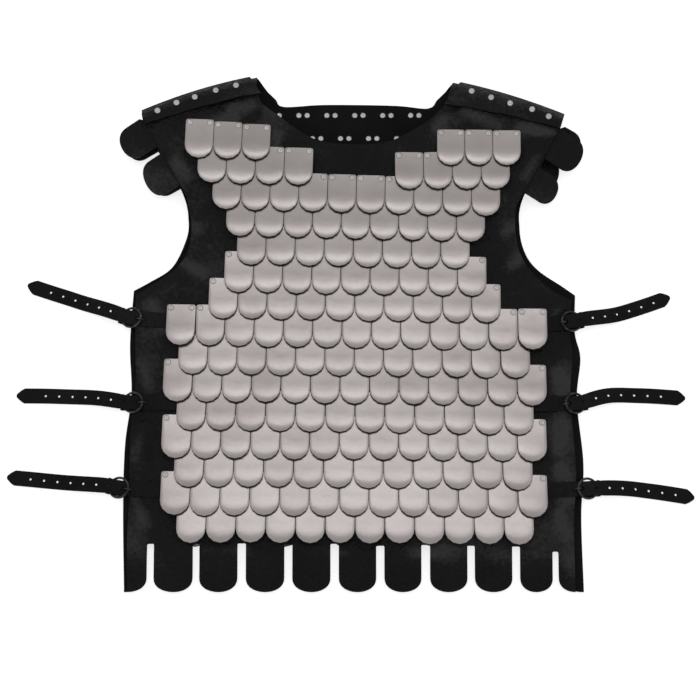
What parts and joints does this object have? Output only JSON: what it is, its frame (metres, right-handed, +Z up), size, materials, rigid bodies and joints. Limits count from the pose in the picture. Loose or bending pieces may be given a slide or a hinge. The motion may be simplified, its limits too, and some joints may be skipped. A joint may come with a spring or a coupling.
{
  "type": "sleeveless leather scale armour laid flat",
  "caption": "Black leather body armour with overlapping steel scales, shoulder and hem tabs and six buckled side straps, laid flat face up.",
  "frame": {"origin": "centre of the garment's bounding box in plan, on the floor that it lies on", "axes": "+Z up out of the floor, through the front panel; +Y from the hem to the neck; +X to the right of someone who looks down on it with the neck at the top"},
  "size_m": [0.902, 0.6968, 0.0422],
  "materials": {
    "black_leather": "pebbled, soft sheen",
    "steel_scale": "satin",
    "dark_buckle": "dark antique"
  },
  "bodies": {
    "root": {"back_panel": "black_leather", "back_scales_01": "steel_scale", "back_scales_02": "steel_scale", "back_scales_03": "steel_scale", "back_scales_04": "steel_scale", "back_scales_05": "steel_scale", "back_scales_06": "steel_scale", "back_scales_07": "steel_scale", "back_scales_08": "steel_scale", "back_scales_09": "steel_scale", "back_scales_10": "steel_scale", "back_scales_11": "steel_scale", "back_scales_12": "steel_scale", "back_scales_13": "steel_scale", "back_scales_14": "steel_scale", "back_scales_15": "steel_scale", "back_tabs_left": "black_leather", "back_tabs_right": "black_leather", "buckle_bottom_left": "dark_buckle", "buckle_bottom_right": "dark_buckle", "buckle_middle_left": "dark_buckle", "buckle_middle_right": "dark_buckle", "buckle_top_left": "dark_buckle", "buckle_top_right": "dark_buckle", "chape_bottom_left": "black_leather", "chape_bottom_right": "black_leather", "chape_middle_left": "black_leather", "chape_middle_right": "black_leather", "chape_top_left": "black_leather", "chape_top_right": "black_leather", "front_panel": "black_leather", "front_scales_01_left": "steel_scale", "front_scales_01_right": "steel_scale", "front_scales_02_left": "steel_scale", "front_scales_02_right": "steel_scale", "front_scales_03": "steel_scale", "front_scales_04": "steel_scale", "front_scales_05": "steel_scale", "front_scales_06": "steel_scale", "front_scales_07": "steel_scale", "front_scales_08": "steel_scale", "front_scales_09": "steel_scale", "front_scales_10": "steel_scale", "front_scales_11": "steel_scale", "front_scales_12": "steel_scale", "front_scales_13": "steel_scale", "front_scales_14": "steel_scale", "front_scales_15": "steel_scale", "front_tabs_left": "black_leather", "front_tabs_right": "black_leather", "shoulder_strip_left": "black_leather", "shoulder_strip_right": "black_leather", "strap_bottom_left": "black_leather", "strap_bottom_right": "black_leather", "strap_middle_left": "black_leather", "strap_middle_right": "black_leather", "strap_top_left": "black_leather", "strap_top_right": "black_leather"}
  },
  "joints": []
}
